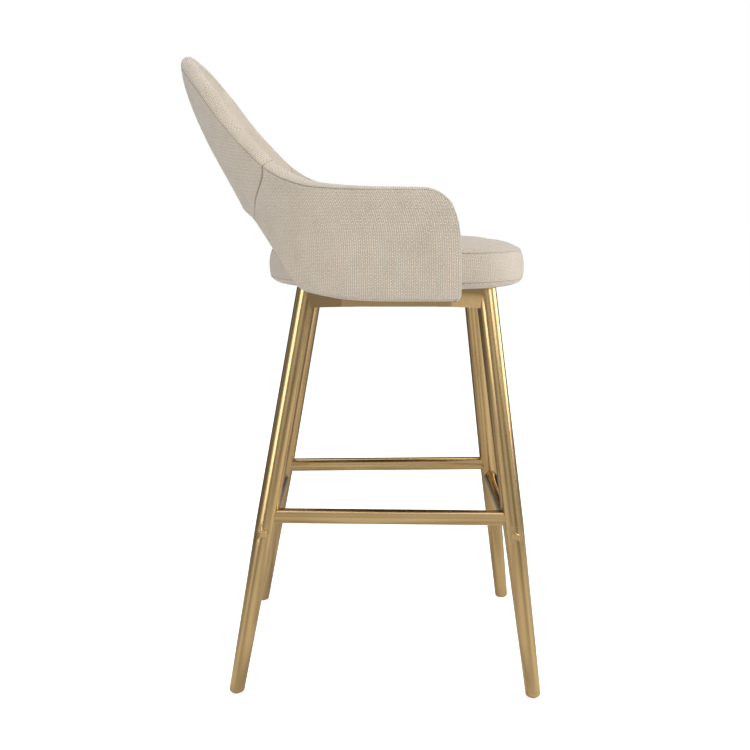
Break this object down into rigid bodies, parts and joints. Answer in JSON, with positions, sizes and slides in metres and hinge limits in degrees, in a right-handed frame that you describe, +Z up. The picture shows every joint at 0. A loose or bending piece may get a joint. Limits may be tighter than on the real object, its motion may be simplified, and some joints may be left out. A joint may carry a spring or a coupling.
{
  "type": "bar stool",
  "caption": "Bar stool with a curved wrap-around upholstered back and arms, a padded seat, splayed metal tube legs and a footrail on all sides",
  "frame": {"origin": "centre of the bounding box, on the floor plane", "axes": "+Z up, -Y the way the sitter faces, +X to the sitter's left"},
  "size_m": [0.532, 0.6096, 1.0649],
  "materials": {
    "satin_brass": "satin brass plated steel tube",
    "plain_steel": "zinc plated",
    "black_plastic": "moulded, matt",
    "plywood": "bare moulded plywood",
    "foam": "open cell upholstery foam",
    "black_cloth": "non-woven dust cloth",
    "oatmeal_fabric": "fine basket weave, matt"
  },
  "bodies": {
    "root": {"arm_bracket_bolts": "plain_steel", "arm_bracket_front_left": "plain_steel", "arm_bracket_front_right": "plain_steel", "arm_bracket_rear_left": "plain_steel", "arm_bracket_rear_right": "plain_steel", "arm_bracket_screws": "plain_steel", "arm_foam_left": "foam", "arm_foam_right": "foam", "back_foam": "foam", "crossbar_tabs": "satin_brass", "dust_cover": "black_cloth", "footrail_bolts": "satin_brass", "footrail_inserts": "plain_steel", "front_bracket_left": "satin_brass", "front_bracket_right": "satin_brass", "front_crossbar": "satin_brass", "front_footrail": "satin_brass", "front_glide_left": "black_plastic", "front_glide_right": "black_plastic", "front_leg_left": "satin_brass", "front_leg_right": "satin_brass", "inner_back_panel": "oatmeal_fabric", "inner_side_panel_left": "oatmeal_fabric", "inner_side_panel_right": "oatmeal_fabric", "leg_top_plugs": "black_plastic", "lower_band_left": "oatmeal_fabric", "lower_band_right": "oatmeal_fabric", "outer_back_panel": "oatmeal_fabric", "outer_side_panel_left": "oatmeal_fabric", "outer_side_panel_right": "oatmeal_fabric", "rear_bracket_left": "satin_brass", "rear_bracket_right": "satin_brass", "rear_crossbar": "satin_brass", "rear_footrail": "satin_brass", "rear_glide_left": "black_plastic", "rear_glide_right": "black_plastic", "rear_leg_left": "satin_brass", "rear_leg_right": "satin_brass", "rim_band_back": "oatmeal_fabric", "rim_band_left": "oatmeal_fabric", "rim_band_right": "oatmeal_fabric", "seat_band": "oatmeal_fabric", "seat_board": "plywood", "seat_bolt_washers": "oatmeal_fabric", "seat_bolts": "plain_steel", "seat_foam": "foam", "seat_rail_left": "satin_brass", "seat_rail_right": "satin_brass", "seat_top_panel": "oatmeal_fabric", "seat_under_panel": "oatmeal_fabric", "shell_ply": "plywood", "side_footrail_left": "satin_brass", "side_footrail_right": "satin_brass", "tee_nuts": "plain_steel"}
  },
  "joints": []
}
